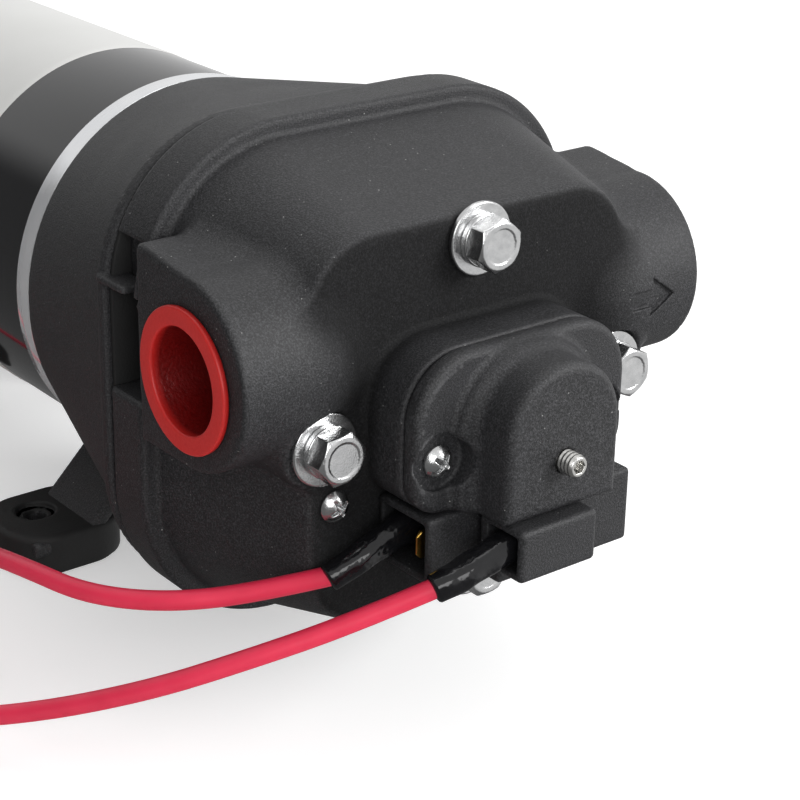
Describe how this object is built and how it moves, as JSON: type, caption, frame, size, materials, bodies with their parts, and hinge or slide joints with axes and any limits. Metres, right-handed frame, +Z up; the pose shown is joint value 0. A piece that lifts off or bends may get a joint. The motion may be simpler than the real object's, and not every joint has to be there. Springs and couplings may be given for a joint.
{
  "type": "caravan water pump",
  "caption": "Self-priming diaphragm water pump for a caravan, with side ports in transit plugs, a pressure switch on its head, a motor and a rubber-footed base.",
  "frame": {"origin": "centre of the four base screw holes, on the surface the rubber feet stand on", "axes": "+Z up, +Y along the motor axis from the pump head to the rear cap, +X to the outlet side"},
  "size_m": [0.1547, 0.2265, 0.099],
  "materials": {
    "moulded_black": "satin, glass filled nylon with a fine grain",
    "gloss_black_paint": "glossy stoved paint",
    "bright_ring": "polished",
    "zinc_plate": "bright zinc plate",
    "steel": "machined",
    "red_plug": "bright red, slightly translucent",
    "red_insulation": "soft insulation, satin",
    "black_sleeve": "glossy heat-shrink sleeve",
    "brass": "plain stamped",
    "rubber": "matt",
    "label": "white film, blank",
    "copper": "tinned or enamelled copper",
    "white_plastic": "natural acetal",
    "magnet": "ferrite"
  },
  "bodies": {
    "pump": {"base_screws": "zinc_plate", "bolt_washers": "zinc_plate", "brush_holder": "moulded_black", "brush_springs": "steel", "carbon_brushes": "magnet", "diaphragm": "rubber", "drive_housing": "moulded_black", "front_bearing": "steel", "front_lead_boot": "black_sleeve", "head_bolts": "zinc_plate", "head_cover": "moulded_black", "head_screws": "zinc_plate", "housing_screws": "zinc_plate", "inlet_valves": "rubber", "lead_end": "copper", "lead_grommets": "rubber", "magnets": "magnet", "microswitch": "moulded_black", "motor_bolts": "zinc_plate", "motor_can": "gloss_black_paint", "motor_end_plate": "steel", "motor_label": "label", "motor_lead": "red_insulation", "outlet_valve": "rubber", "rear_bearing": "steel", "rear_end_cap": "gloss_black_paint", "rear_lead_boot": "black_sleeve", "rubber_feet": "rubber", "saddle_base": "moulded_black", "spring_washers": "zinc_plate", "supply_coil": "red_insulation", "supply_lead": "red_insulation", "switch_cover": "moulded_black", "switch_membrane": "rubber", "switch_screws": "zinc_plate", "switch_terminals": "brass", "terminal_housing": "moulded_black", "trim_ring": "bright_ring", "valve_plate": "white_plastic", "valve_seal": "rubber"},
    "rotor": {"motor_shaft": "steel", "armature_core": "steel", "armature_winding": "copper", "commutator": "copper", "eccentric_hub": "steel", "hub_set_screw": "zinc_plate", "wobble_bearing_inner": "steel", "bearing_balls": "steel"},
    "wobble_drive": {"wobble_plate": "white_plastic", "wobble_bearing_outer": "steel", "piston_caps": "white_plastic", "piston_screws": "zinc_plate", "diaphragm_cups": "rubber"},
    "plunger": {"switch_plunger": "white_plastic", "switch_spring": "steel"},
    "button": {"microswitch_button": "white_plastic"},
    "seat": {"spring_seat": "steel"},
    "set_screw": {"adjusting_screw": "zinc_plate"},
    "inlet_plug_body": {"inlet_plug": "red_plug"},
    "outlet_plug_body": {"outlet_plug": "red_plug"}
  },
  "joints": [
    {"name": "rotor_spin", "type": "hinge", "parent": "pump", "child": "rotor", "pos_m": [0, 0, 0.055], "axis": [0, 1, 0], "continuous": true},
    {"name": "wobble_turn", "type": "hinge", "parent": "rotor", "child": "wobble_drive", "pos_m": [0, -0.086, 0.055], "axis": [0, 0.9981, -0.061], "continuous": true},
    {"name": "plunger_push", "type": "slide", "parent": "pump", "child": "plunger", "axis": [0, -1, 0], "range_m": [0, 0.0006], "stiffness_N_per_m": 300, "springref_m": -0.001, "deforming": ["switch_spring"]},
    {"name": "button_press", "type": "slide", "parent": "pump", "child": "button", "axis": [0, 0, -1], "range_m": [0, 0.0006]},
    {"name": "spring_seat_slide", "type": "slide", "parent": "pump", "child": "seat", "axis": [0, -1, 0], "range_m": [-0.0005, 0.0005], "deforming": ["switch_spring"]},
    {"name": "adjusting_screw_turn", "type": "hinge", "parent": "seat", "child": "set_screw", "pos_m": [0, -0.1477, 0.0532], "axis": [0, -1, 0], "range_deg": [-260, 260]},
    {"name": "inlet_plug_pull", "type": "slide", "parent": "pump", "child": "inlet_plug_body", "axis": [-1, 0, 0], "range_m": [0, 0.014]},
    {"name": "outlet_plug_pull", "type": "slide", "parent": "pump", "child": "outlet_plug_body", "axis": [1, 0, 0], "range_m": [0, 0.014]}
  ],
  "couplings": [
    {"joint": "wobble_turn", "follows": "rotor_spin", "ratio": -1},
    {"joint": "button_press", "follows": "plunger_push", "ratio": 1},
    {"joint": "adjusting_screw_turn", "follows": "spring_seat_slide", "rad_per_m": 8976}
  ]
}
